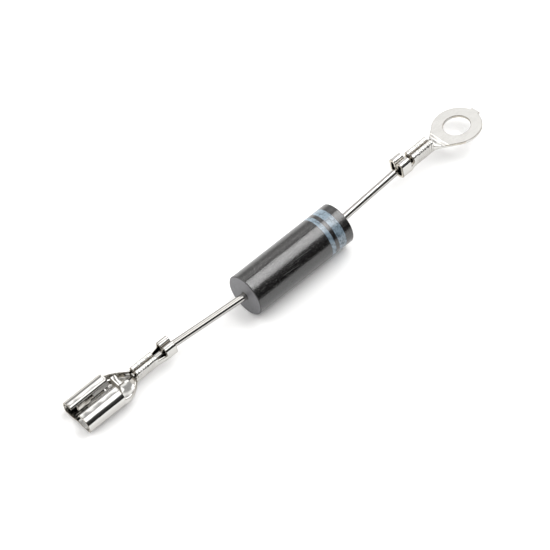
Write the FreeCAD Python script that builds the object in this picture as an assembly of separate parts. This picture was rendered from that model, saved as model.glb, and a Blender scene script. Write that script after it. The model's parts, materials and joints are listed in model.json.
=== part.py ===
import FreeCAD, Part
import math
import os

# High-voltage diode with crimped terminals, millimetres.
# +X runs along the body's axis from the receptacle's end to the ring's end and +Z is up.
# The diode lies on a table, on its body and on one rolled side of the receptacle.

# Body
BODY_LENGTH = 22.0
BODY_DIAMETER = 7.85
BODY_EDGE_CHAMFER = 0.12

# Leads
WIRE_DIAMETER = 1.3
WIRE_BEND_RADIUS = 4.0
EXIT_STUB = 0.3
ENTRY_STUB = 0.4
WIRE_END_SHOWN = 0.4
NAIL_HEAD_DIAMETER = 2.2
NAIL_HEAD_THICKNESS = 0.6

# Stack of chips inside the body
CHIP_COUNT = 12
CHIP_SIDE = 1.5
CHIP_THICKNESS = 0.28
SOLDER_SIDE = 1.4
SOLDER_THICKNESS = 0.06
COATING_DIAMETER = 3.6
COATING_OVERLAP = 0.9

# How the leads and the terminals are turned, degrees. Both ends lean to +Y.
ANODE_ROLL = 8.0
CATHODE_ROLL = 13.0
ANODE_LEAD_LENGTH = 14.7
ANODE_LEAD_ASIDE = 7.1
ANODE_TERMINAL_ASIDE = 2.0
CATHODE_LEAD_LENGTH = 14.35
CATHODE_LEAD_ASIDE = 3.2
CATHODE_TERMINAL_ASIDE = 1.0

# Crimped barrels
SEAM_GAP = 0.06
CORNER_SHARE = 0.55
BACK_BARREL_LENGTH = 2.15
WINDOW_WALL_HEIGHT = 1.5

# Receptacle for a flat tab
TAB_WIDTH = 6.3
TAB_THICKNESS = 0.8
TAB_SIDE_CLEARANCE = 0.03
RECEPTACLE_SHEET = 0.35
RECEPTACLE_LENGTH = 8.05
FLOOR_BEND_RADIUS = 0.55
SIDE_LEAN = 3.0
SIDE_HEIGHT = 0.85
SIDE_BEND_RADIUS = 1.3
SIDE_TURN = 50.0
TOP_BEND_RADIUS = 1.9
TOP_TURN = 50.0
INNER_BEND_RADIUS = 0.55
INNER_TURN = 60.0
LIP_BEND_RADIUS = 0.3
LIP_LEAN = 3.0
LONG_LIP_LENGTH = 3.95
LIP_STEP = 0.45
LIP_SETBACK = 1.25
RECEPTACLE_NECK_LENGTH = 4.6
NECK_WALL_HEIGHT = 1.0
NECK_WALL_DIP = 0.25
NECK_FULLNESS = 2.0
NECK_STATIONS = (0.0, 0.3, 0.65, 1.0)
BOX_RISE = 0.5
RECEPTACLE_GRIP_WIDTH = 2.35
RECEPTACLE_GRIP_HEIGHT = 2.35
RECEPTACLE_GRIP_LENGTH = 4.55
RECEPTACLE_WINDOW = 1.7
RECEPTACLE_BACK_WIDTH = 3.1
RECEPTACLE_BACK_HEIGHT = 2.85
RIB_WIDTH = 2.0
RIB_HEIGHT = 0.25
RIB_LENGTH = 3.2
STOP_WIDTH = 2.4
STOP_HEIGHT = 2.65
STOP_SHELF = 1.1
STOP_BEHIND = 0.6
STOP_FOLD_RADIUS = 0.28

# Ring terminal
RING_SHEET = 0.5
RING_OUTER_RADIUS = 4.5
SCREW_DIAMETER = 4.4
SCREW_CLEARANCE = 0.25
RING_NECK_LENGTH = 2.3
RING_TIP_REACH = 4.85
RING_TIP_WIDTH = 1.9
RING_NECK_BLEND = 1.6
RING_NECK_FLAT = 0.9
RING_NECK_LIP_RADIUS = 0.5
RING_NECK_LIP_TURN = 40.0
RING_NECK_LIP_LENGTH = 0.15
RING_WEB_ROOT = 0.3
RING_WEB_WIDTH = 1.5
RING_WEB_SPREAD = 60.0
RING_GRIP_WIDTH = 2.5
RING_GRIP_HEIGHT = 2.6
RING_GRIP_LENGTH = 4.8
RING_WINDOW = 1.1
RING_BACK_WIDTH = 3.35
RING_BACK_HEIGHT = 3.25

# Two points closer than this are the same point
SAME_PLACE = 1e-6

# Lengths and widths that follow from those above
RECEPTACLE_TAIL = BACK_BARREL_LENGTH + RECEPTACLE_WINDOW + RECEPTACLE_GRIP_LENGTH
RING_TAIL = BACK_BARREL_LENGTH + RING_WINDOW + RING_GRIP_LENGTH
HALF_FLOOR = TAB_WIDTH / 2 + TAB_SIDE_CLEARANCE + RECEPTACLE_SHEET / 2 - FLOOR_BEND_RADIUS
STACK_LENGTH = CHIP_COUNT * CHIP_THICKNESS + (CHIP_COUNT + 1) * SOLDER_THICKNESS


def vector(x, y, z):
    return FreeCAD.Vector(x, y, z)


def folded(moves, floor, sheet):
    """Closed outline across the wire of a sheet folded up alike on both sides of a flat floor.

    Each move is a flat (length, 0) or a bend (radius of the middle line, degrees). It starts at the
    middle of the floor, whose underside is at the height floor.
    """
    y, z, heading = 0.0, floor + sheet / 2, 0.0
    sides = {1: [], -1: []}
    for size, turn in moves:
        if turn == 0:
            steps = [(y + size * math.cos(heading) * share, z + size * math.sin(heading) * share, heading)
                     for share in (0.0, 0.5, 1.0)]
        else:
            middle_y = y - size * math.sin(heading)
            middle_z = z + size * math.cos(heading)
            steps = []
            for share in (0.0, 0.5, 1.0):
                way = heading + math.radians(turn) * share
                steps.append((middle_y + size * math.sin(way), middle_z - size * math.cos(way), way))
        for side in sides:
            points = [vector(0, p - side * math.sin(way) * sheet / 2, q + side * math.cos(way) * sheet / 2)
                      for p, q, way in steps]
            if turn == 0:
                sides[side].append(Part.makeLine(points[0], points[2]))
            else:
                sides[side].append(Part.Arc(*points).toShape())
        y, z, heading = steps[2]
    tip = Part.makeLine(sides[-1][-1].Vertexes[-1].Point, sides[1][-1].Vertexes[-1].Point)
    half = sides[-1] + [tip] + sides[1][::-1]
    other = [edge.mirror(vector(0, 0, 0), vector(0, 1, 0)) for edge in half]
    return Part.Wire(Part.__sortEdges__(half + other[::-1]))


def path_end(moves, sheet):
    """Where the middle line of a folded sheet ends, from the middle of its floor's underside."""
    y, z, heading = 0.0, sheet / 2, 0.0
    for size, turn in moves:
        if turn == 0:
            y += size * math.cos(heading)
            z += size * math.sin(heading)
        else:
            way = heading + math.radians(turn)
            y += size * (math.sin(way) - math.sin(heading))
            z += size * (math.cos(heading) - math.cos(way))
            heading = way
    return y, z


def run(outline, start, length):
    """Solid of a folded outline drawn out along the wire."""
    face = Part.Face(outline)
    face.translate(vector(start, 0, 0))
    return face.extrude(vector(length, 0, 0))


def blend(sections):
    """Smooth solid through folded outlines, each given as (place along the wire, outline)."""
    wires = []
    for place, outline in sections:
        wire = outline.copy()
        wire.translate(vector(place, 0, 0))
        wires.append(wire)
    return Part.makeLoft(wires, True, False)


def corner_radius(width, sheet):
    """Bend of a barrel's lower corners, on the sheet's middle line."""
    return CORNER_SHARE * (width - sheet) / 2


def curled_moves(width, height, sheet):
    """Moves of a barrel whose two wings curl over, meet above the wire and dip to it."""
    half = (width - sheet) / 2
    wing = (half - sheet / 2 - SEAM_GAP / 2) / 2
    corner = corner_radius(width, sheet)
    side = height - sheet - corner - wing
    dip = height - sheet - WIRE_DIAMETER - wing - sheet / 2
    return [(half - corner, 0), (corner, 90), (side, 0), (wing, 180), (dip, 0)]


def channel_moves(width, sheet):
    """Moves of an open channel with upright sides."""
    half = (width - sheet) / 2
    corner = corner_radius(width, sheet)
    return [(half - corner, 0), (corner, 90), (WINDOW_WALL_HEIGHT - sheet / 2 - corner, 0)]


def crimped_tail(sheet, back_size, window, grip_size, grip_length):
    """Back barrel, open window and wire barrel, from the wire's side outwards."""
    floor = -WIRE_DIAMETER / 2 - sheet
    grip_start = BACK_BARREL_LENGTH + window
    back = run(folded(curled_moves(*back_size, sheet), floor, sheet), 0, BACK_BARREL_LENGTH)
    open_part = blend([(BACK_BARREL_LENGTH, folded(channel_moves(back_size[0], sheet), floor, sheet)),
                       (grip_start, folded(channel_moves(grip_size[0], sheet), floor, sheet))])
    grip = run(folded(curled_moves(*grip_size, sheet), floor, sheet), grip_start, grip_length)
    return back.fuse([open_part, grip])


def receptacle_moves():
    """Moves of the neck's wide end, of a whole rolled side and of its lip, with the lip's length."""
    sheet = RECEPTACLE_SHEET
    base = [(HALF_FLOOR, 0), (FLOOR_BEND_RADIUS, 90 - SIDE_LEAN)]
    rolled = base + [(SIDE_HEIGHT, 0), (SIDE_BEND_RADIUS, SIDE_TURN), (TOP_BEND_RADIUS, TOP_TURN),
                     (INNER_BEND_RADIUS, INNER_TURN)]
    lip_bend = [(LIP_BEND_RADIUS, 180 + LIP_LEAN + SIDE_LEAN - SIDE_TURN - TOP_TURN - INNER_TURN)]
    lip_start = path_end(rolled + lip_bend, sheet)[1]
    long_lip = (lip_start - TAB_THICKNESS - sheet) / math.cos(math.radians(LIP_LEAN))
    return base + [(NECK_WALL_HEIGHT, 0)], rolled, lip_bend, long_lip


def scooped_neck(start, floor):
    """Channel around the wire's end that widens to the box in a smooth double curve."""
    sheet = RECEPTACLE_SHEET
    flare_start = start + WIRE_END_SHOWN
    flare_length = RECEPTACLE_NECK_LENGTH - WIRE_END_SHOWN
    narrow = channel_moves(RECEPTACLE_GRIP_WIDTH, sheet)
    wide = receptacle_moves()[0]
    sections = []
    for share in NECK_STATIONS:
        ease = 1 - (1 - share) ** NECK_FULLNESS
        moves = [(a + (b - a) * ease, turn + (other - turn) * share)
                 for (a, turn), (b, other) in zip(narrow, wide)]
        moves[-1] = (moves[-1][0] - NECK_WALL_DIP * 4 * share * (1 - share), 0)
        sections.append((flare_start + flare_length * share,
                         folded(moves, floor + BOX_RISE * share ** 3, sheet)))
    return run(folded(narrow, floor, sheet), start, WIRE_END_SHOWN).fuse(blend(sections))


def receptacle():
    """Receptacle terminal in its own frame: the wire's axis is X, outwards, and up is Z."""
    sheet = RECEPTACLE_SHEET
    floor = -WIRE_DIAMETER / 2 - sheet
    box_floor = floor + BOX_RISE
    box_start = RECEPTACLE_TAIL + RECEPTACLE_NECK_LENGTH
    box_end = box_start + RECEPTACLE_LENGTH
    _, rolled, lip_bend, long_lip = receptacle_moves()
    cut_back = rolled + [(LIP_BEND_RADIUS, lip_bend[0][1] / 2)]
    front = run(folded(cut_back, box_floor, sheet), box_end - LIP_SETBACK, LIP_SETBACK)
    mouth = run(folded(rolled + lip_bend + [(long_lip, 0)], box_floor, sheet),
                box_end - LONG_LIP_LENGTH, LONG_LIP_LENGTH - LIP_SETBACK)
    rear = run(folded(rolled + lip_bend + [(long_lip - LIP_STEP, 0)], box_floor, sheet),
               box_start, RECEPTACLE_LENGTH - LONG_LIP_LENGTH)
    tail = crimped_tail(sheet, (RECEPTACLE_BACK_WIDTH, RECEPTACLE_BACK_HEIGHT), RECEPTACLE_WINDOW,
                        (RECEPTACLE_GRIP_WIDTH, RECEPTACLE_GRIP_HEIGHT), RECEPTACLE_GRIP_LENGTH)
    shape = tail.fuse([scooped_neck(RECEPTACLE_TAIL, floor), rear, mouth, front])
    shape = with_rib(shape, box_end, box_floor)
    return with_stop(shape, box_start - STOP_BEHIND, box_floor)


def with_rib(shape, box_end, box_floor):
    """Floor with a rib pressed up along the tab, open at the mouth."""
    sheet = RECEPTACLE_SHEET
    half = RIB_WIDTH / 2
    radius = (half * half + RIB_HEIGHT * RIB_HEIGHT) / (2 * RIB_HEIGHT)
    start = box_end - RIB_LENGTH
    middle = box_floor + RIB_HEIGHT - radius
    inner = Part.makeCylinder(radius, RIB_LENGTH, vector(start, 0, middle), vector(1, 0, 0))
    outer = Part.makeCylinder(radius + sheet, RIB_LENGTH, vector(start, 0, middle), vector(1, 0, 0))
    above = Part.makeBox(RIB_LENGTH, 4 * half, radius, vector(start, -2 * half, box_floor + sheet / 2))
    below = Part.makeBox(RIB_LENGTH, 4 * half, radius, vector(start, -2 * half, box_floor))
    return shape.fuse(outer.common(above)).cut(inner.common(below))


def with_stop(shape, root, box_floor):
    """Tongue cut out of the floor between the lips, bent up to stop the tab and folded back on top."""
    sheet = RECEPTACLE_SHEET
    half = STOP_WIDTH / 2
    length = STOP_HEIGHT + STOP_SHELF - sheet
    slot = Part.makeBox(length, STOP_WIDTH, 4 * sheet, vector(root, -half, box_floor - 2 * sheet))
    upright = Part.makeBox(sheet, STOP_WIDTH, STOP_HEIGHT, vector(root - sheet, -half, box_floor))
    top = box_floor + STOP_HEIGHT
    shelf = Part.makeBox(STOP_SHELF, STOP_WIDTH, sheet, vector(root - STOP_SHELF, -half, top - sheet))
    tongue = upright.fuse(shelf).removeSplitter()
    fold = [edge for edge in tongue.Edges
            if all(abs(v.X - root) < SAME_PLACE and abs(v.Z - top) < SAME_PLACE for v in edge.Vertexes)]
    return shape.cut(slot).fuse(tongue.makeFillet(STOP_FOLD_RADIUS, fold))


def ring():
    """Ring terminal in its own frame: the wire's axis is X, outwards, and up is Z."""
    sheet = RING_SHEET
    floor = -WIRE_DIAMETER / 2 - sheet
    wire_end = channel_moves(RING_GRIP_WIDTH, sheet)
    flat_end = [(RING_NECK_FLAT, 0), (RING_NECK_LIP_RADIUS, RING_NECK_LIP_TURN), (RING_NECK_LIP_LENGTH, 0)]
    neck = blend([(RING_TAIL, folded(wire_end, floor, sheet)),
                  (RING_TAIL + RING_NECK_BLEND, folded(flat_end, floor, sheet))])
    middle = RING_TAIL + RING_NECK_LENGTH + RING_OUTER_RADIUS
    disc = Part.makeCylinder(RING_OUTER_RADIUS, sheet, vector(middle, 0, floor))
    spread = math.radians(RING_WEB_SPREAD)
    far_x = middle - RING_OUTER_RADIUS * math.cos(spread)
    far_y = RING_OUTER_RADIUS * math.sin(spread)
    near_x = RING_TAIL + RING_WEB_ROOT
    near_y = RING_WEB_WIDTH / 2
    corners = [(near_x, -near_y), (far_x, -far_y), (far_x, far_y), (near_x, near_y), (near_x, -near_y)]
    web = Part.Face(Part.makePolygon([vector(x, y, floor) for x, y in corners]))
    tip = Part.makeBox(RING_TIP_REACH, RING_TIP_WIDTH, sheet, vector(middle, -RING_TIP_WIDTH / 2, floor))
    plate = disc.fuse([web.extrude(vector(0, 0, sheet)), tip])
    hole_radius = SCREW_DIAMETER / 2 + SCREW_CLEARANCE
    hole = Part.makeCylinder(hole_radius, 3 * sheet, vector(middle, 0, floor - sheet))
    tail = crimped_tail(sheet, (RING_BACK_WIDTH, RING_BACK_HEIGHT), RING_WINDOW,
                        (RING_GRIP_WIDTH, RING_GRIP_HEIGHT), RING_GRIP_LENGTH)
    return tail.fuse([neck, plate]).cut(hole)


def direction(towards, aside, down):
    """Unit vector that leaves the body towards one end, leaning to +Y and down."""
    level = math.cos(math.radians(down))
    x = towards * math.cos(math.radians(aside)) * level
    y = math.sin(math.radians(aside)) * level
    return vector(x, y, -math.sin(math.radians(down)))


def lead_corners(towards, tail, length, lead_aside, terminal_aside, down):
    """Corners of a lead's middle line: nail head, exit, entry to the terminal, and its end."""
    height = BODY_DIAMETER / 2
    start = vector(towards * STACK_LENGTH / 2, 0, height)
    leaves = vector(towards * (BODY_LENGTH / 2 + EXIT_STUB), 0, height)
    enters = leaves + direction(towards, lead_aside, down) * length
    ends = enters + direction(towards, terminal_aside, down) * (ENTRY_STUB + tail + WIRE_END_SHOWN)
    return [start, leaves, enters, ends]


def rod(corners):
    """Round wire along straight runs, bent at each inner corner."""
    edges = []
    start = corners[0]
    for before, corner, after in zip(corners, corners[1:], corners[2:]):
        back = (before - corner).normalize()
        ahead = (after - corner).normalize()
        turn = math.pi - back.getAngle(ahead)
        reach = WIRE_BEND_RADIUS * math.tan(turn / 2)
        inwards = (back + ahead).normalize()
        depth = WIRE_BEND_RADIUS / math.cos(turn / 2) - WIRE_BEND_RADIUS
        edges.append(Part.makeLine(start, corner + back * reach))
        bend_end = corner + ahead * reach
        edges.append(Part.Arc(corner + back * reach, corner + inwards * depth, bend_end).toShape())
        start = bend_end
    edges.append(Part.makeLine(start, corners[-1]))
    circle = Part.Wire(Part.makeCircle(WIRE_DIAMETER / 2, corners[0], corners[1] - corners[0]))
    return Part.Wire(edges).makePipeShell([circle], True, True)


def lead(towards, tail, length, lead_aside, terminal_aside, down):
    """Lead with its nail head, one piece."""
    corners = lead_corners(towards, tail, length, lead_aside, terminal_aside, down)
    head = Part.makeCylinder(NAIL_HEAD_DIAMETER / 2, NAIL_HEAD_THICKNESS, corners[0], vector(towards, 0, 0))
    return rod(corners).fuse(head)


def placed(shape, towards, tail, length, lead_aside, terminal_aside, down):
    """Terminal moved onto its lead."""
    enters = lead_corners(towards, tail, length, lead_aside, terminal_aside, down)[2]
    start = enters + direction(towards, terminal_aside, down) * ENTRY_STUB
    yaw = terminal_aside if towards > 0 else 180 - terminal_aside
    moved = shape.copy()
    roll = -CATHODE_ROLL if towards > 0 else ANODE_ROLL
    moved.Placement = FreeCAD.Placement(start, FreeCAD.Rotation(yaw, down, roll))
    return moved


def droop():
    """How far the anode's end leans down, degrees, for its low corner to touch the table."""
    sheet = RECEPTACLE_SHEET
    mouth = RECEPTACLE_TAIL + RECEPTACLE_NECK_LENGTH + RECEPTACLE_LENGTH
    height = -WIRE_DIAMETER / 2 - sheet / 2 + BOX_RISE + FLOOR_BEND_RADIUS
    corner = vector(mouth, -HALF_FLOOR, height)
    low, high = 0.0, 30.0
    for _ in range(40):
        down = (low + high) / 2
        enters = lead_corners(-1, RECEPTACLE_TAIL, ANODE_LEAD_LENGTH, ANODE_LEAD_ASIDE,
                              ANODE_TERMINAL_ASIDE, down)[2]
        start = enters + direction(-1, ANODE_TERMINAL_ASIDE, down) * ENTRY_STUB
        turn = FreeCAD.Rotation(180 - ANODE_TERMINAL_ASIDE, down, ANODE_ROLL)
        bend = (FLOOR_BEND_RADIUS + sheet / 2) * math.cos(math.radians(down))
        if (start + turn.multVec(corner)).z > bend:
            low = down
        else:
            high = down
    return low


def bead():
    """Outside of the silicone bead, with the stack and both nail heads inside it."""
    reach = STACK_LENGTH / 2 + NAIL_HEAD_THICKNESS + COATING_OVERLAP
    start = vector(-reach, 0, BODY_DIAMETER / 2)
    return Part.makeCylinder(COATING_DIAMETER / 2, 2 * reach, start, vector(1, 0, 0))


def body():
    """Moulded body, with the bead's and the leads' room inside it."""
    start = vector(-BODY_LENGTH / 2, 0, BODY_DIAMETER / 2)
    outside = Part.makeCylinder(BODY_DIAMETER / 2, BODY_LENGTH, start, vector(1, 0, 0))
    ends = [edge for edge in outside.Edges if edge.Curve.TypeId == "Part::GeomCircle"]
    outside = outside.makeChamfer(BODY_EDGE_CHAMFER, ends)
    bore = Part.makeCylinder(WIRE_DIAMETER / 2, BODY_LENGTH, start, vector(1, 0, 0))
    return outside.cut(bead().fuse(bore))


def square(side, thickness, x):
    """Square plate across the body's axis, its near face at x."""
    return Part.makeBox(thickness, side, side, vector(x, -side / 2, BODY_DIAMETER / 2 - side / 2))


parts = {}
down = droop()
anode = (-1, RECEPTACLE_TAIL, ANODE_LEAD_LENGTH, ANODE_LEAD_ASIDE, ANODE_TERMINAL_ASIDE, down)
cathode = (1, RING_TAIL, CATHODE_LEAD_LENGTH, CATHODE_LEAD_ASIDE, CATHODE_TERMINAL_ASIDE, 0.0)
parts["anode_lead"] = lead(*anode)
parts["cathode_lead"] = lead(*cathode)
parts["receptacle_terminal"] = placed(receptacle(), *anode)
parts["ring_terminal"] = placed(ring(), *cathode)
pitch = CHIP_THICKNESS + SOLDER_THICKNESS
for number in range(CHIP_COUNT + 1):
    x = -STACK_LENGTH / 2 + number * pitch
    parts[f"solder_disc_{number + 1:02d}"] = square(SOLDER_SIDE, SOLDER_THICKNESS, x)
    if number < CHIP_COUNT:
        parts[f"silicon_chip_{number + 1:02d}"] = square(CHIP_SIDE, CHIP_THICKNESS, x + SOLDER_THICKNESS)
inside = [shape for name, shape in parts.items() if "terminal" not in name]
parts["junction_coating"] = bead().cut(inside[0].multiFuse(inside[1:]))
parts["epoxy_body"] = body()

whole = Part.makeCompound(list(parts.values())).optimalBoundingBox(False, False)
shift = vector(-whole.Center.x, -whole.Center.y, 0)
os.makedirs("parts", exist_ok=True)
for name, shape in parts.items():
    shape.translate(shift)
    shape.exportStep(f"parts/{name}.step")
    print(name, shape.isValid(), len(shape.Solids), round(shape.Volume, 2))
print("droop", round(down, 2), "size", round(whole.XLength, 2), round(whole.YLength, 2), round(whole.ZLength, 2))
print("shift", shift)
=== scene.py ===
# %% [markdown]
# # A high-voltage diode on a white table
# The real thing is a black moulded cylinder with a tinned wire out of each end. One wire is crimped to
# a receptacle for a flat tab, the other to a ring terminal. The measured solids are loaded first and
# never moved. Everything below dresses them, lights them and looks at them.

# %% Load the measured solids
import json
import math

import bmesh
import bpy
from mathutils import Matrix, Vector


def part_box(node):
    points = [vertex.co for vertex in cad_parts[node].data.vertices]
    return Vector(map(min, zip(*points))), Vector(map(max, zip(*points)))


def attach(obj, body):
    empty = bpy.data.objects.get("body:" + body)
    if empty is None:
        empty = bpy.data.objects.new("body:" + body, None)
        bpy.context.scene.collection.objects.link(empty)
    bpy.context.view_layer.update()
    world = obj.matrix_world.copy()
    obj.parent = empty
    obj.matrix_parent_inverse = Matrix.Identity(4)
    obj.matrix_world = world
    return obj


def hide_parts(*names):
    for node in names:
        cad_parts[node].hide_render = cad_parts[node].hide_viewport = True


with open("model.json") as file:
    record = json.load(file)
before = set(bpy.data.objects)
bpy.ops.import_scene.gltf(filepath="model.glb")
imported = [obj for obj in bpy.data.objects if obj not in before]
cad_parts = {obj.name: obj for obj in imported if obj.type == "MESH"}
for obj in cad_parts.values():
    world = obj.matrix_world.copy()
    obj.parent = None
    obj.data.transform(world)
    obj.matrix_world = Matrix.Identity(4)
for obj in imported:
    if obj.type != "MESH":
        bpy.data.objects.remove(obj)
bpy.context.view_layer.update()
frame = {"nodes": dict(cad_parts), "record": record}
MM = 0.001
print("solids:", len(frame["nodes"]))

# %% [markdown]
# The body lies along X, so its box gives its middle, its length and its radius. Every measure that
# follows starts from this middle, so nothing has to be fitted by eye.

# %% Measure the body
body_low, body_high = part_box("epoxy_body")
body_middle = (body_low + body_high) / 2
body_radius = (body_high.z - body_low.z) / 2
body_length = body_high.x - body_low.x
print("body middle mm:", [round(value / MM, 3) for value in body_middle])
print("body radius mm:", round(body_radius / MM, 3), "length mm:", round(body_length / MM, 3))

# %% [markdown]
# The photograph was taken from high up with a long lens, so parallel edges stay nearly parallel. A long
# lens far away gives the same flatness. The aim point is set a little off the body's middle, as it was
# in the photograph, which needs no lens shift.

# %% Place the camera
CAMERA_AZIMUTH = -43.8
CAMERA_ELEVATION = 55.2
CAMERA_DISTANCE = 700 * MM
PIXELS_PER_MM = 5.867
FRAME_PIXELS = 550
AIM_LEFT = 2.849 * MM
AIM_BELOW = 2.724 * MM
NEAR_CLIP = 0.05
FAR_CLIP = 20


def looking_axes(azimuth, elevation):
    """Unit vectors from the object to the eye, to the picture's right and to its top."""
    side, up = math.radians(azimuth), math.radians(elevation)
    back = Vector((math.sin(side) * math.cos(up), -math.cos(side) * math.cos(up), math.sin(up)))
    right = Vector((math.cos(side), math.sin(side), 0))
    return back, right, back.cross(right)


def place_camera():
    """Long lens that shows the diode at the photograph's scale and angle."""
    back, right, top = looking_axes(CAMERA_AZIMUTH, CAMERA_ELEVATION)
    aim = body_middle - right * AIM_LEFT - top * AIM_BELOW
    data = bpy.data.cameras.new("long_lens")
    data.lens = CAMERA_DISTANCE / MM * PIXELS_PER_MM / FRAME_PIXELS * data.sensor_width
    data.clip_start, data.clip_end = NEAR_CLIP, FAR_CLIP
    camera = bpy.data.objects.new("long_lens", data)
    camera.location = aim + back * CAMERA_DISTANCE
    camera.rotation_euler = back.to_track_quat("Z", "Y").to_euler()
    bpy.context.scene.collection.objects.link(camera)
    bpy.context.scene.camera = camera
    return camera


camera = place_camera()
print("lens mm:", round(camera.data.lens, 1))

# %% [markdown]
# Node materials are built by hand here, so two small helpers keep each one readable. The first makes a
# node, sets its plain values and joins the sockets that other nodes feed. The second starts a material
# and hands over the surface point in metres, so every pattern below can be given in real sizes.

# %% Nodes and materials
def node(tree, kind, settings=None, **inputs):
    """New node with its settings, and its inputs set to values or joined to sockets."""
    made = tree.nodes.new(kind)
    for name, value in (settings or {}).items():
        setattr(made, name, value)
    for name, value in inputs.items():
        socket = made.inputs[int(name[1:])] if name[0] == "_" else made.inputs[name.replace("_", " ")]
        if isinstance(value, bpy.types.NodeSocket):
            tree.links.new(value, socket)
        else:
            socket.default_value = value
    return made


def new_material(name):
    """New material with its node tree, its shader and its surface point."""
    material = bpy.data.materials.new(name)
    material.use_nodes = True
    tree = material.node_tree
    shader = tree.nodes["Principled BSDF"]
    point = node(tree, "ShaderNodeTexCoord").outputs["Object"]
    return material, tree, shader, point


print("helpers made:", node.__name__, new_material.__name__)

# %% [markdown]
# A mask is a number from 0 to 1 at each point of a surface. Sums and ranges make masks out of positions
# and out of random patterns.

# %% Sums and ranges
def maths(tree, operation, first, second=0.0, third=0.0):
    """Result of one sum on up to three sockets or numbers."""
    return node(tree, "ShaderNodeMath", {"operation": operation}, _0=first, _1=second, _2=third).outputs[0]


def between(tree, value, low, high, to_low=0.0, to_high=1.0, smooth=False):
    """Value moved from one range to another and held inside it."""
    made = node(tree, "ShaderNodeMapRange", {"interpolation_type": "SMOOTHSTEP" if smooth else "LINEAR"},
                _0=value, _1=low, _2=high, _3=to_low, _4=to_high)
    return made.outputs[0]


def inside(tree, value, limit, softness):
    """1 where a value is below a limit and 0 where it is above."""
    return between(tree, value, limit - softness, limit + softness, 1.0, 0.0, smooth=True)


print("helpers made:", maths.__name__, between.__name__, inside.__name__)

# %% [markdown]
# Real surfaces are never even. A random pattern of a known size drives the colour, the gloss or the
# height, and the same few helpers do this for every finish. Nearly all of such a pattern lies between 0.3
# and 0.7, so that span is kept for the patterns that drive gloss.

# %% Patterns, colours and heights
PATTERN_SPAN = (0.3, 0.7)


def noise(tree, point, size, detail=2.0, roughness=0.5):
    """Soft random pattern whose blotches are about one size across, in metres."""
    made = node(tree, "ShaderNodeTexNoise", None, Vector=point, Scale=1 / size, Detail=detail,
                Roughness=roughness)
    return made.outputs[0]


def stretched(tree, point, times):
    """Surface point squeezed along X, which draws a pattern out that many times along X."""
    return node(tree, "ShaderNodeMapping", None, Vector=point, Scale=(1 / times, 1, 1)).outputs[0]


def blended(tree, amount, first, second):
    """Colour that goes from the first to the second as the amount goes from 0 to 1."""
    made = node(tree, "ShaderNodeMix", {"data_type": "RGBA"}, _0=amount)
    for index, colour in ((6, first), (7, second)):
        if isinstance(colour, bpy.types.NodeSocket):
            tree.links.new(colour, made.inputs[index])
        else:
            made.inputs[index].default_value = (*colour, 1)
    return made.outputs[2]


def bumped(tree, height, distance, under=None):
    """Surface direction tilted by a height pattern, on top of another one if given."""
    below = {} if under is None else {"Normal": under}
    return node(tree, "ShaderNodeBump", None, Distance=distance, Height=height, **below).outputs[0]


print("helpers made:", noise.__name__, stretched.__name__, blended.__name__, bumped.__name__)

# %% [markdown]
# The two bands near the ring terminal's end are printed ink that marks the cathode. Ink has no thickness
# worth a solid, so a mask along X paints it. The measure starts at the end face and wanders a little
# with a random pattern, which gives the ragged edge of a print on a curved body.

# %% Mask of the printed bands
BAND_START = 1.70 * MM
WIDE_BAND = 1.68 * MM
BAND_GAP = 0.77 * MM
NARROW_BAND = 0.88 * MM
BAND_EDGE = 0.05 * MM
INK_WANDER = 0.14 * MM
WANDER_SIZE = 0.35 * MM


def band_mask(tree, along, start, width):
    """1 inside a printed band and 0 outside it, measured in from the end face."""
    end = start + width
    rise = between(tree, along, start - BAND_EDGE, start + BAND_EDGE, smooth=True)
    return maths(tree, "MULTIPLY", rise, inside(tree, along, end, BAND_EDGE))


def printed_bands(tree, point, x):
    """Ink mask of both bands, with ragged edges."""
    wander = noise(tree, point, WANDER_SIZE)
    end = maths(tree, "MULTIPLY_ADD", wander, INK_WANDER, body_high.x - INK_WANDER / 2)
    along = maths(tree, "SUBTRACT", end, x)
    wide = band_mask(tree, along, BAND_START, WIDE_BAND)
    narrow = band_mask(tree, along, BAND_START + WIDE_BAND + BAND_GAP, NARROW_BAND)
    return maths(tree, "MAXIMUM", wide, narrow)


print("bands end mm from the end face:", round((BAND_START + WIDE_BAND + BAND_GAP + NARROW_BAND) / MM, 2))

# %% [markdown]
# The end faces are painted pale grey and made matt, a painted reflection of the white table they face,
# with a darker rim and a dark ring where the lead comes out. Two distances find them: how far a point is
# from the nearer end, and how far from the axis. Both come from the body's own box, so the painted grey
# follows the solid.

# %% Masks of the end faces
END_FACE_DEPTH = 0.004 * MM
END_FACE_SOFTNESS = 0.002 * MM
RIM_WIDTH = 0.15 * MM
RIM_SOFTNESS = 0.03 * MM
LEAD_RING = 0.86 * MM
LEAD_RING_SOFTNESS = 0.06 * MM


def distances(tree, split):
    """How far each point is from the nearer end face and from the body's axis."""
    from_middle = maths(tree, "ABSOLUTE", maths(tree, "SUBTRACT", split["X"], body_middle.x))
    from_end = maths(tree, "SUBTRACT", body_length / 2, from_middle)
    y = maths(tree, "SUBTRACT", split["Y"], body_middle.y)
    z = maths(tree, "SUBTRACT", split["Z"], body_middle.z)
    across = node(tree, "ShaderNodeCombineXYZ", None, Y=y, Z=z).outputs[0]
    from_axis = node(tree, "ShaderNodeVectorMath", {"operation": "LENGTH"}, Vector=across).outputs["Value"]
    return from_end, from_axis


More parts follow.
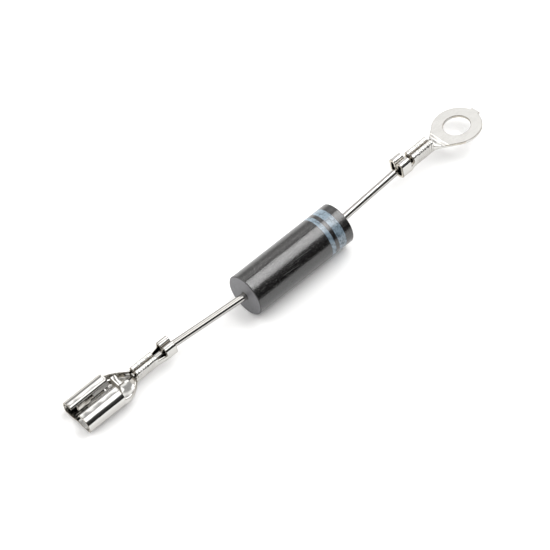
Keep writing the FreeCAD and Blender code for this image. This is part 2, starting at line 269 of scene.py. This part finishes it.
def end_masks(tree, split):
    """Mask of both end faces, and of the dark rim and the dark ring round the lead."""
    from_end, from_axis = distances(tree, split)
    end_face = inside(tree, from_end, END_FACE_DEPTH, END_FACE_SOFTNESS)
    core = inside(tree, from_axis, body_radius - RIM_WIDTH, RIM_SOFTNESS)
    near_rim = maths(tree, "MULTIPLY", inside(tree, from_end, RIM_WIDTH, RIM_SOFTNESS),
                     maths(tree, "SUBTRACT", 1.0, core))
    round_lead = maths(tree, "MULTIPLY", end_face, inside(tree, from_axis, LEAD_RING, LEAD_RING_SOFTNESS))
    return end_face, maths(tree, "MAXIMUM", near_rim, round_lead)


print("rim mm:", round(RIM_WIDTH / MM, 2), "ring round the lead mm:", round(LEAD_RING / MM, 2))

# %% [markdown]
# The body is filled epoxy straight from a mould: black and glossy, with pale specks of filler and long
# rub marks from handling. The black is built up in layers, as it would be painted: the plain resin, dusty
# blotches, then specks and scratches. The ink lies on top, thin in places and with a few bare spots.

# %% Colours of the epoxy and the ink
EPOXY_BLACK = (0.0060, 0.0058, 0.0058)
EPOXY_DUSTY = (0.009, 0.009, 0.009)
EPOXY_SPECK = (0.078, 0.076, 0.073)
# painted reflection: the end faces' grey stands in for the white table they mirror
END_FACE_REFLECTION_DARK = (0.045, 0.045, 0.049)
END_FACE_REFLECTION_PALE = (0.165, 0.165, 0.178)
INK_THIN = (0.055, 0.085, 0.110)
INK_FULL = (0.185, 0.250, 0.305)
DUST_SPAN = (0.45, 0.75)
SPECK_SPAN = (0.58, 0.68)
SCRATCH_SPAN = (0.60, 0.66)
SCRATCH_SHARE = 0.5
COVER_SIZE = 0.60 * MM
COVER_SPAN = (0.34, 0.56)
BARE_SPOT_SIZE = 0.16 * MM
BARE_SPOT_SPAN = (0.66, 0.70)


def black_resin(tree, grain, mottle, rub):
    """Black with dusty blotches, pale specks and scratches."""
    black = blended(tree, between(tree, mottle, *DUST_SPAN), EPOXY_BLACK, EPOXY_DUSTY)
    scratches = maths(tree, "MULTIPLY", between(tree, rub, *SCRATCH_SPAN), SCRATCH_SHARE)
    specks = maths(tree, "MAXIMUM", between(tree, grain, *SPECK_SPAN), scratches)
    return blended(tree, specks, black, EPOXY_SPECK)


def with_ink(tree, point, ink, black):
    """The black with the bands' ink over it, uneven in cover."""
    cover = between(tree, noise(tree, point, COVER_SIZE, detail=3.0, roughness=0.65), *COVER_SPAN)
    bare_spots = between(tree, noise(tree, point, BARE_SPOT_SIZE, roughness=0.6), *BARE_SPOT_SPAN)
    printed = blended(tree, cover, INK_THIN, INK_FULL)
    return blended(tree, maths(tree, "SUBTRACT", ink, bare_spots), black, printed)


print("epoxy colours:", EPOXY_BLACK, EPOXY_DUSTY, EPOXY_SPECK, "ink:", INK_THIN, INK_FULL)

# %% [markdown]
# The material brings the layers together. Its gloss varies as well: ink and rub marks are duller than the
# bare skin, and the end faces are nearly matt. The filler makes the resin denser than plain plastic, so
# it reflects a little more, and the index of refraction is raised for that.

# %% Moulded epoxy
GRAIN_SIZE = 0.19 * MM
MOTTLE_SIZE = 1.1 * MM
RUB_SIZE = 0.30 * MM
RUB_STRETCH = 14
RUB_SHARE = 0.4
RUB_SPAN = (0.4, 0.7)
SKIN_DEPTH = 0.020 * MM
SKIN_ROUGHNESS = (0.10, 0.16)
RUB_ROUGHNESS = 0.08
INK_ROUGHNESS = 0.05
MATT_ROUGHNESS = 0.30
EPOXY_REFRACTION = 1.73


def moulded_epoxy():
    """Glossy black epoxy, printed bands, and matt end faces painted grey as a painted reflection."""
    material, tree, shader, point = new_material("moulded_epoxy")
    split = node(tree, "ShaderNodeSeparateXYZ", None, Vector=point).outputs
    end_face, dark_edge = end_masks(tree, split)
    ink = printed_bands(tree, point, split["X"])
    grain = noise(tree, point, GRAIN_SIZE, detail=3.0, roughness=0.7)
    mottle = noise(tree, point, MOTTLE_SIZE, detail=4.0, roughness=0.6)
    rub = noise(tree, stretched(tree, point, RUB_STRETCH), RUB_SIZE, detail=3.0, roughness=0.7)

    colour = with_ink(tree, point, ink, black_resin(tree, grain, mottle, rub))
    # painted reflection: the end faces are blended to a pale grey
    colour = blended(tree, end_face, colour, blended(tree, grain, END_FACE_REFLECTION_DARK, END_FACE_REFLECTION_PALE))
    tree.links.new(blended(tree, dark_edge, colour, EPOXY_BLACK), shader.inputs["Base Color"])

    skin = between(tree, mottle, *PATTERN_SPAN, *SKIN_ROUGHNESS)
    skin = maths(tree, "ADD", skin, between(tree, rub, *RUB_SPAN, 0.0, RUB_ROUGHNESS))
    skin = maths(tree, "MULTIPLY_ADD", ink, INK_ROUGHNESS, skin)
    matt = maths(tree, "MAXIMUM", end_face, dark_edge)
    tree.links.new(maths(tree, "MULTIPLY_ADD", matt, MATT_ROUGHNESS, skin), shader.inputs["Roughness"])
    height = maths(tree, "MULTIPLY_ADD", rub, RUB_SHARE, grain)
    tree.links.new(bumped(tree, height, SKIN_DEPTH), shader.inputs["Normal"])
    shader.inputs["IOR"].default_value = EPOXY_REFRACTION
    return material


materials = {"moulded_epoxy": moulded_epoxy()}
print("made:", sorted(materials))

# %% [markdown]
# The crimping dies leave dents in the terminals' necks and ripples in the grips that hold the wire. These
# are shallower than the sheet is thick, so a height pattern draws them. Each kind is kept to its own
# stretch along X by a mask that fades at both ends.

# %% Marks of the crimping dies
NECK_ZONES = [(-38.8 * MM, -34.0 * MM), (34.9 * MM, 37.6 * MM)]
GRIP_ZONES = [(-34.2 * MM, -29.4 * MM), (30.2 * MM, 35.2 * MM)]
ZONE_FADE = 0.8 * MM
DENT_SIZE = 2.0 * MM
DENT_DEPTH = 0.38 * MM
RIPPLE_LENGTH = 0.50 * MM
RIPPLE_DEPTH = 0.045 * MM
RIPPLE_WANDER = 9.0
RIPPLE_WANDER_SIZE = 0.9 * MM


def zone_mask(tree, x, zones, softness):
    """1 where the place along the axis is inside any of the zones."""
    mask = 0.0
    for low, high in zones:
        rise = between(tree, x, low, low + softness, smooth=True)
        fall = between(tree, x, high - softness, high, 1.0, 0.0, smooth=True)
        mask = maths(tree, "MULTIPLY_ADD", rise, fall, mask)
    return mask


def pressed_marks(tree, point):
    """Height of the dents and ripples, as a share of the dents' depth."""
    x = node(tree, "ShaderNodeSeparateXYZ", None, Vector=point).outputs["X"]
    dents = noise(tree, point, DENT_SIZE, detail=0.0)
    dents = maths(tree, "MULTIPLY", dents, zone_mask(tree, x, NECK_ZONES, ZONE_FADE))
    wander = maths(tree, "MULTIPLY", noise(tree, point, RIPPLE_WANDER_SIZE), RIPPLE_WANDER)
    ripple = maths(tree, "SINE", maths(tree, "MULTIPLY_ADD", x, 2 * math.pi / RIPPLE_LENGTH, wander))
    ripple = maths(tree, "MULTIPLY", ripple, zone_mask(tree, x, GRIP_ZONES, ZONE_FADE))
    return maths(tree, "MULTIPLY_ADD", ripple, RIPPLE_DEPTH / DENT_DEPTH, dents)


print("dents mm deep:", round(DENT_DEPTH / MM, 2), "ripples mm:", round(RIPPLE_DEPTH / MM, 3))

# %% [markdown]
# The leads are soft copper wire dipped in tin, drawn through a die before that, so faint lines run along
# them. Dipped tin is greyer than the plated tin on the sheet. The terminals are stamped from thin tinned
# brass sheet and keep the sheet's slow waviness, which is what bends their reflections. Corners and creases
# get painted shade, a dark brown tint that an occlusion mask finds. Both metals are bare, so the shader's
# metallic value does most of the work.

# %% Tinned wire and tinned sheet
PLATED_TIN = (0.60, 0.592, 0.575)
PLATED_AT_GRAZING = (0.50, 0.47, 0.42)
DIPPED_TIN = (0.47, 0.46, 0.445)
DIPPED_AT_GRAZING = (0.25, 0.235, 0.21)
# painted shade: brown tint laid into corners and creases
CREVICE_SHADE_TINT = (0.33, 0.28, 0.225)
CREVICE = 0.6 * MM
CREVICE_RAYS = 8
CREVICE_SHADE_SPAN = (0.25, 0.70)
TIN_ROUGHNESS = (0.07, 0.14)
STREAK_SIZE = 0.10 * MM
STREAK_DEPTH = 0.0012 * MM
STREAK_SPAN = (0.55, 0.75)
STREAK_SHARE = 0.35
STREAK_SHADE = 0.6
WIRE_WAVES = (2.0 * MM, 0.006 * MM)
WIRE_STRETCH = 30
SHEET_WAVES = (2.4 * MM, 0.045 * MM)
SHEET_STRETCH = 12


def tin_colour(tree, colour, streak):
    """Tin with darker streaks, and painted shade, a brown tint, where little light gets in."""
    openness = node(tree, "ShaderNodeAmbientOcclusion", {"samples": CREVICE_RAYS}, Distance=CREVICE)
    # painted shade: darker where the occlusion mask finds the surface shut in
    painted_shade = between(tree, openness.outputs["AO"], *CREVICE_SHADE_SPAN, 1.0, 0.0)
    streaks = between(tree, streak, *STREAK_SPAN, 0.0, STREAK_SHARE)
    dulled = blended(tree, streaks, colour, tuple(STREAK_SHADE * part for part in colour))
    return blended(tree, painted_shade, dulled, CREVICE_SHADE_TINT)


def tinned(name, colour, at_grazing, waves, streak_stretch, pressed=False):
    """Bare tin with drawn or rolled streaks, slow waves and, on the terminals, the dies' marks."""
    material, tree, shader, point = new_material(name)
    shader.inputs["Metallic"].default_value = 1.0
    shader.inputs["Specular Tint"].default_value = (*at_grazing, 1)
    streak = noise(tree, stretched(tree, point, streak_stretch), STREAK_SIZE, detail=3.0, roughness=0.6)
    tree.links.new(tin_colour(tree, colour, streak), shader.inputs["Base Color"])
    tree.links.new(between(tree, streak, *PATTERN_SPAN, *TIN_ROUGHNESS), shader.inputs["Roughness"])
    wave_size, wave_height = waves
    normal = bumped(tree, streak, STREAK_DEPTH)
    normal = bumped(tree, noise(tree, point, wave_size, detail=1.0), wave_height, normal)
    if pressed:
        normal = bumped(tree, pressed_marks(tree, point), DENT_DEPTH, normal)
    tree.links.new(normal, shader.inputs["Normal"])
    return material


materials["tinned_wire"] = tinned("tinned_wire", DIPPED_TIN, DIPPED_AT_GRAZING, WIRE_WAVES, WIRE_STRETCH)
materials["tinned_sheet"] = tinned("tinned_sheet", PLATED_TIN, PLATED_AT_GRAZING, SHEET_WAVES, SHEET_STRETCH,
                                   pressed=True)
print("made:", sorted(materials))

# %% [markdown]
# The sheet's cut faces and rounded edges get finishes of their own. Shears drag the tin along and leave a
# duller face. The rounded edges are painted dark: painted shade that draws a thin dark outline along each
# edge.

# %% Cut edges of the sheet, and painted edge shade
SHEARED = (0.60, 0.56, 0.49)
SHEARED_ROUGHNESS = 0.55
# painted shade: dark colour of the rounded edges, a painted dark outline
EDGE_SHADE_DARK = (0.09, 0.075, 0.055)
EDGE_SHADE_ROUGHNESS = 0.35
DRAG_SIZE = 0.25 * MM
DRAG_DEPTH = 0.004 * MM
DRAG_SPAN = (0.50, 0.80)
DRAG_SMOOTHEST = 0.7


def cut_edge(name, dark, roughness):
    """Metal of the given colour with tin dragged over it in patches; the dark kind is painted edge shade."""
    material, tree, shader, point = new_material(name)
    shader.inputs["Metallic"].default_value = 1.0
    drag = noise(tree, point, DRAG_SIZE, detail=3.0, roughness=0.6)
    patches = between(tree, drag, *DRAG_SPAN)
    tree.links.new(blended(tree, patches, dark, PLATED_TIN), shader.inputs["Base Color"])
    gloss = between(tree, drag, *PATTERN_SPAN, roughness * DRAG_SMOOTHEST, roughness)
    tree.links.new(gloss, shader.inputs["Roughness"])
    tree.links.new(bumped(tree, drag, DRAG_DEPTH), shader.inputs["Normal"])
    return material


sheared_and_shaded_edges = [
    cut_edge("sheared_face", SHEARED, SHEARED_ROUGHNESS),
    # painted edge shade for the rounded strips
    cut_edge("painted_edge_shade", EDGE_SHADE_DARK, EDGE_SHADE_ROUGHNESS),
]
print("made:", [finish.name for finish in sheared_and_shaded_edges])

# %% [markdown]
# Inside the body, out of sight, lie the stack of silicon chips, the solder between them and the bead of
# silicone around them. They still get their own finishes, for anyone who cuts the model open. Each one
# needs only a colour, a gloss and the size of its blotches, so one function makes all three.

# %% Hidden finishes
BLOTCH_SMOOTHEST = 0.8
HIDDEN_FINISHES = {
    "silicon": {"colour": (0.16, 0.17, 0.20), "metallic": 0.6, "roughness": 0.25,
                "blotch": 0.3 * MM, "speckle": 0.2},
    "solder": {"colour": (0.60, 0.59, 0.56), "metallic": 1.0, "roughness": 0.45,
               "blotch": 0.1 * MM, "speckle": 0.3},
    "silicone": {"colour": (0.80, 0.80, 0.77), "metallic": 0.0, "roughness": 0.5,
                 "blotch": 0.8 * MM, "speckle": 0.1},
}


def hidden_finish(name, colour, metallic, roughness, blotch, speckle):
    """Plain finish with soft blotches in its colour and its gloss."""
    material, tree, shader, point = new_material(name)
    shader.inputs["Metallic"].default_value = metallic
    spots = noise(tree, point, blotch, detail=3.0)
    darker = tuple(value * (1 - speckle) for value in colour)
    tree.links.new(blended(tree, spots, darker, colour), shader.inputs["Base Color"])
    gloss = between(tree, spots, *PATTERN_SPAN, roughness * BLOTCH_SMOOTHEST, roughness)
    tree.links.new(gloss, shader.inputs["Roughness"])
    return material


for name, finish in HIDDEN_FINISHES.items():
    materials[name] = hidden_finish(name, **finish)
print("made:", sorted(materials))

# %% [markdown]
# The part's record says which material each solid is made of. Looking the name up there keeps the looks
# and the measured part in step.

# %% Dress the solids
slot_of = {part["node"]: part["material_slot"] for part in frame["record"]["subparts"]}
for name, solid in frame["nodes"].items():
    solid.data.materials.clear()
    solid.data.materials.append(materials[slot_of[name]])
print("dressed:", sorted(set(slot_of.values())))

# %% [markdown]
# A stamping tool never leaves a knife edge: the sheet's cut edges are a little rounded, and each one
# catches a thin line of light or dark. The terminals' solids have sharp edges, so each gets a visible
# copy whose sharp outer edges are rounded over. Flat faces are joined first, so that the rounding runs
# clean along them. The sheared faces stay divided, since one face with such a crooked outline would
# cross itself.

# %% Ready the mesh for rounding
EDGE_ROUNDING = 0.07 * MM
ROUNDING_STEPS = 2
SAME_POINT = 0.0001 * MM
FLAT_ANGLE = math.radians(0.6)
SHARP_ANGLE = math.radians(50)
PLATE_FROM_X = 37.4 * MM
UPRIGHT_BELOW = 0.2
ACROSS_AXIS_FROM = 0.9
SHEET, SHEARED_FACE, SHADED_EDGE = 0, 1, 2


def is_sheared(face):
    """True for a face cut across the sheet: an end across the axis, or the ring's rim and hole."""
    ring_side = abs(face.normal.z) < UPRIGHT_BELOW and face.calc_center_median().x > PLATE_FROM_X
    return abs(face.normal.x) > ACROSS_AXIS_FROM or ring_side


def join_flat_faces(work):
    """Join faces that lie flat to each other, apart from the sheared ones."""
    sheared = {face for face in work.faces if is_sheared(face)}
    corners = [corner for corner in work.verts if sheared.isdisjoint(corner.link_faces)]
    edges = [edge for edge in work.edges if sheared.isdisjoint(edge.link_faces)]
    bmesh.ops.dissolve_limit(work, angle_limit=FLAT_ANGLE, verts=corners, edges=edges)


def drop_flaps(work):
    """Take out pairs of faces that lie back to back on the same corners."""
    by_corners = {}
    for face in work.faces:
        by_corners.setdefault(frozenset(face.verts), []).append(face)
    flaps = [face for pair in by_corners.values() if len(pair) > 1 for face in pair]
    bmesh.ops.delete(work, geom=flaps, context="FACES")


def skin_area(work):
    """Area of the whole surface in square millimetres."""
    return sum(face.calc_area() for face in work.faces) / MM ** 2


print("rounding mm:", round(EDGE_ROUNDING / MM, 3), "sharp from degrees:", round(math.degrees(SHARP_ANGLE)))

# %% [markdown]
# Rounding cuts each sharp edge off in two narrow strips. Where strips meet at a corner, tiny slivers and
# doubled points can be left behind, so points that coincide are merged and faces that lie back to back
# are taken out. Blender may list the new faces in another order each time, so they are sorted. The area
# that is kept and the number of open edges are printed, as a check on the copy.

# %% Round the edges
def round_edges(work):
    """Round the sharp outer edges over, and mark the sheared faces and the strips that get painted edge
    shade.
    """
    sharp = [edge for edge in work.edges if edge.is_convex and edge.calc_face_angle(0) > SHARP_ANGLE]
    rounded = bmesh.ops.bevel(work, geom=sharp, offset=EDGE_ROUNDING, offset_type="OFFSET",
                              segments=ROUNDING_STEPS, profile=0.5, affect="EDGES", clamp_overlap=False)
    for face in work.faces:
        face.material_index = SHEARED_FACE if is_sheared(face) else SHEET
    # the rounded strips take the painted edge shade
    for face in rounded["faces"]:
        face.material_index = SHADED_EDGE
    bmesh.ops.triangulate(work, faces=work.faces)
    bmesh.ops.remove_doubles(work, verts=work.verts, dist=SAME_POINT)
    drop_flaps(work)


def in_fixed_order(work):
    """Faces sorted by their corners, so that every run writes the same mesh."""
    work.verts.index_update()
    many = len(work.verts)

    def rank(face):
        first, second, third = sorted(corner.index for corner in face.verts)
        return (first * many + second) * many + third

    work.faces.sort(key=rank)
    work.faces.index_update()


def rounded_mesh(name):
    """Mesh of a solid with its sharp outer edges rounded over."""
    work = bmesh.new()
    work.from_mesh(frame["nodes"][name].data)
    bmesh.ops.remove_doubles(work, verts=work.verts, dist=SAME_POINT)
    solid_area = skin_area(work)
    join_flat_faces(work)
    round_edges(work)
    faulty = sum(1 for edge in work.edges if len(edge.link_faces) != 2)
    print(name, "area kept:", round(skin_area(work) / solid_area, 4), "open edges:", faulty)
    in_fixed_order(work)
    mesh = bpy.data.meshes.new(name + "_rounded")
    work.to_mesh(mesh)
    work.free()
    return mesh


# %% [markdown]
# A bright metal shows every facet, so the shading is smoothed by hand. At each corner of a face, the
# faces round it that aren't parted from it by a crease share one direction, and large faces count for
# more than small ones. Flat sheet then stays flat in its reflections and only the rounded edge turns.

# %% Smooth the shading
CREASE_ANGLE = math.radians(38)


def faces_round(face, corner):
    """Faces round one corner of a face that no crease parts from it."""
    group, waiting = [face], [face]
    while waiting:
        for edge in waiting.pop().edges:
            if corner in edge.verts and edge.smooth:
                fresh = [other for other in edge.link_faces if other not in group]
                group.extend(fresh)
                waiting.extend(fresh)
    return group


def shade(mesh):
    """Smooth shading that leans on the large faces and breaks at creases."""
    work = bmesh.new()
    work.from_mesh(mesh)
    for face in work.faces:
        face.smooth = True
    for edge in work.edges:
        edge.smooth = edge.calc_face_angle(0) < CREASE_ANGLE
    work.normal_update()
    normals = []
    for face in work.faces:
        for loop in face.loops:
            group = faces_round(face, loop.vert)
            normals.append(sum((other.normal * other.calc_area() for other in group), Vector()).normalized())
    work.to_mesh(mesh)
    work.free()
    mesh.normals_split_custom_set(normals)


print("crease from degrees:", round(math.degrees(CREASE_ANGLE)))

# %% [markdown]
# The copy then takes the solid's place to the eye. It rides on the same body, keeps the solid's material
# name and says which solid it stands for, so that the measured part and the visible one stay paired. It
# hangs from the root body, takes the solid's material and the solid's name with _rounded added, and the
# solid itself is hidden.

# %% Terminals with rounded edges
def rounded_copy(name):
    """Visible copy of a solid, with rounded edges, its sheared faces and its painted edge shade."""
    mesh = rounded_mesh(name)
    shade(mesh)
    piece = bpy.data.objects.new(name + "_rounded", mesh)
    bpy.context.scene.collection.objects.link(piece)
    for finish in [materials[slot_of[name]]] + sheared_and_shaded_edges:
        mesh.materials.append(finish)
    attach(piece, "root")
    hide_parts(name)
    print(piece.name, "triangles:", len(mesh.polygons))


for name in ("receptacle_terminal", "ring_terminal"):
    rounded_copy(name)

# %% [markdown]
# The diode lies on a white sheet that reaches well past the picture. The paper itself is pale, and what
# the eye or the metal sees of it is lifted a little towards white, with the shadow kept.

# %% White table
TABLE_HALF = 1.2
TABLE_WHITE = (0.92, 0.92, 0.92)
TABLE_LIFT = 0.10
PAPER_ROUGHNESS = 0.9
PAPER_SHEEN = 0.1
FIBRE_SIZE = 0.8 * MM
FIBRE_SHADE = 0.99


def white_paper():
    """Pale paper that the eye and the metal see a little lighter than it is lit."""
    material, tree, shader, point = new_material("white_paper")
    shader.inputs["Roughness"].default_value = PAPER_ROUGHNESS
    shader.inputs["Specular IOR Level"].default_value = PAPER_SHEEN
    path = node(tree, "ShaderNodeLightPath").outputs
    seen = maths(tree, "MAXIMUM", path["Is Camera Ray"], path["Is Glossy Ray"])
    seen = maths(tree, "MAXIMUM", seen, path["Is Transmission Ray"])
    tree.links.new(maths(tree, "MULTIPLY", seen, TABLE_LIFT), shader.inputs["Emission Strength"])
    shader.inputs["Emission Color"].default_value = (1, 1, 1, 1)
    fibre = noise(tree, point, FIBRE_SIZE)
    shaded = tuple(value * FIBRE_SHADE for value in TABLE_WHITE)
    tree.links.new(blended(tree, fibre, shaded, TABLE_WHITE), shader.inputs["Base Color"])
    return material


def white_table():
    """Flat sheet under the diode."""
    mesh = bpy.data.meshes.new("table")
    corners = [(-TABLE_HALF, -TABLE_HALF, 0), (TABLE_HALF, -TABLE_HALF, 0),
               (TABLE_HALF, TABLE_HALF, 0), (-TABLE_HALF, TABLE_HALF, 0)]
    mesh.from_pydata(corners, [], [(0, 1, 2, 3)])
    mesh.materials.append(white_paper())
    table = bpy.data.objects.new("table", mesh)
    bpy.context.scene.collection.objects.link(table)
    return table


white_table()
print("table metres:", 2 * TABLE_HALF)

# %% [markdown]
# One long soft lamp hangs overhead, and its reflection is the white stripe along the body's top. Its long
# side runs across the body, because the curve of the body squeezes the reflection that way.

# %% Soft lamp
LAMP_DISTANCE = 1.80
LAMP_ACROSS = 0.34
LAMP_LONG = 1.50
LAMP_BRIGHTNESS = 8.2
LAMP_TOWARDS = Vector((0.37, -0.055, 0.925)).normalized()


def soft_lamp():
    """Lamp above the body, with its power set by how bright its surface should look."""
    data = bpy.data.lights.new("soft_lamp", "AREA")
    data.shape = "RECTANGLE"
    data.size, data.size_y = LAMP_LONG, LAMP_ACROSS
    data.energy = LAMP_BRIGHTNESS * math.pi * LAMP_ACROSS * LAMP_LONG
    lamp = bpy.data.objects.new("soft_lamp", data)
    lamp.location = body_middle + LAMP_TOWARDS * LAMP_DISTANCE
    lamp.rotation_euler = LAMP_TOWARDS.to_track_quat("Z", "Y").to_euler()
    bpy.context.scene.collection.objects.link(lamp)
    return lamp


print("lamp watts:", round(soft_lamp().data.energy, 2))

# %% [markdown]
# White cards stand behind the diode and nothing stands in front of it, so one side of the metal mirrors
# white and the other mirrors a dark room. The world's own brightness plays the cards and the room. It
# goes by the angle around the body's axis, since every long piece here mirrors the room that way. Each
# piece also leans a little differently along the axis, so the cards come in five sets, one beside the
# other. A set gives its two limits along the axis, and then its brightness at each angle, in degrees
# from straight up and positive towards the front.

# %% Brightness of the cards
CARD_PEAK = 4.0
CARD_SOFTNESS = 0.03
CARDS = [
    (0.55, 2.00, [(-120, 1.0), (-88, 1.5), (-60, 2.6), (20, 2.6), (42, 1.0), (65, 0.3), (88, 0.1)]),
    (0.35, 0.55, [(-120, 1.05), (-90, 1.05), (-66, 0.90), (-56, 1.30), (-50, 1.50), (-42, 0.55), (-30, 0.45),
                  (20, 0.5), (34, 0.30), (42, 0.20), (52, 0.10), (65, 0.04), (88, 0.01)]),
    (0.205, 0.35, [(-120, 0.45), (-62, 0.45), (-57, 2.2), (-16, 2.2), (-10, 0.36), (34, 0.30), (42, 0.20),
                   (52, 0.10), (65, 0.04), (88, 0.01)]),
    (0.05, 0.205, [(-120, 0.40), (-40, 0.40), (-8, 0.5), (-4, 2.3), (29, 2.3), (35, 0.10), (52, 0.05),
                   (65, 0.04), (88, 0.01)]),
    (-2.00, 0.05, [(-88, 0.4), (-75, 1.6), (-60, 2.4), (-35, 2.4), (-18, 1.4), (10, 0.7), (42, 0.2),
                   (65, 0.04)]),
]


def set_curve(mapping, points):
    """Curve through the given points, with straight runs between them."""
    curve = mapping.curves[0]
    for index, (across, up) in enumerate(points):
        point = curve.points[index] if index < 2 else curve.points.new(across, up)
        point.location = (across, up)
    for point in curve.points:
        point.handle_type = "VECTOR"
    mapping.update()


def card_light(tree, share, across, card):
    """Brightness of one set of cards: by the angle around the axis, between two limits along it."""
    near, far, levels = card
    curve = node(tree, "ShaderNodeFloatCurve", None, Value=share)
    ends = [(-180, 0.0)] + levels + [(180, 0.0)]
    set_curve(curve.mapping, [(degrees / 360 + 0.5, level / CARD_PEAK) for degrees, level in ends])
    soft = CARD_SOFTNESS / 2
    rise = between(tree, across, near - soft, near + soft, smooth=True)
    fall = between(tree, across, far - soft, far + soft, CARD_PEAK, 0.0, smooth=True)
    return maths(tree, "MULTIPLY", curve.outputs[0], maths(tree, "MULTIPLY", rise, fall))


print("card sets:", len(CARDS))

# %% [markdown]
# The world takes the direction that is looked along, turns it into the angle around the body's axis, and
# adds up the cards. The plain view transform shows each colour as it is written.

# %% Half-dark room
ROOM_TINT = (1.0, 0.995, 0.985)


def half_dark_room():
    """World that is bright where the white cards stand and dark elsewhere."""
    world = bpy.data.worlds.new("half_dark_room")
    bpy.context.scene.world = world
    world.use_nodes = True
    tree = world.node_tree
    background = tree.nodes["Background"]
    toward = node(tree, "ShaderNodeTexCoord").outputs["Generated"]
    split = node(tree, "ShaderNodeSeparateXYZ", None, Vector=toward).outputs
    front = maths(tree, "MULTIPLY", split["Y"], -1.0)
    angle = maths(tree, "ARCTAN2", front, split["Z"])
    share = maths(tree, "MULTIPLY_ADD", angle, 1 / (2 * math.pi), 0.5)
    level = 0.0
    for card in CARDS:
        level = maths(tree, "ADD", level, card_light(tree, share, split["X"], card))
    tree.links.new(level, background.inputs["Strength"])
    background.inputs["Color"].default_value = (*ROOM_TINT, 1)
    return world


bpy.context.scene.view_settings.view_transform = "Standard"
print("room nodes:", len(half_dark_room().node_tree.nodes))
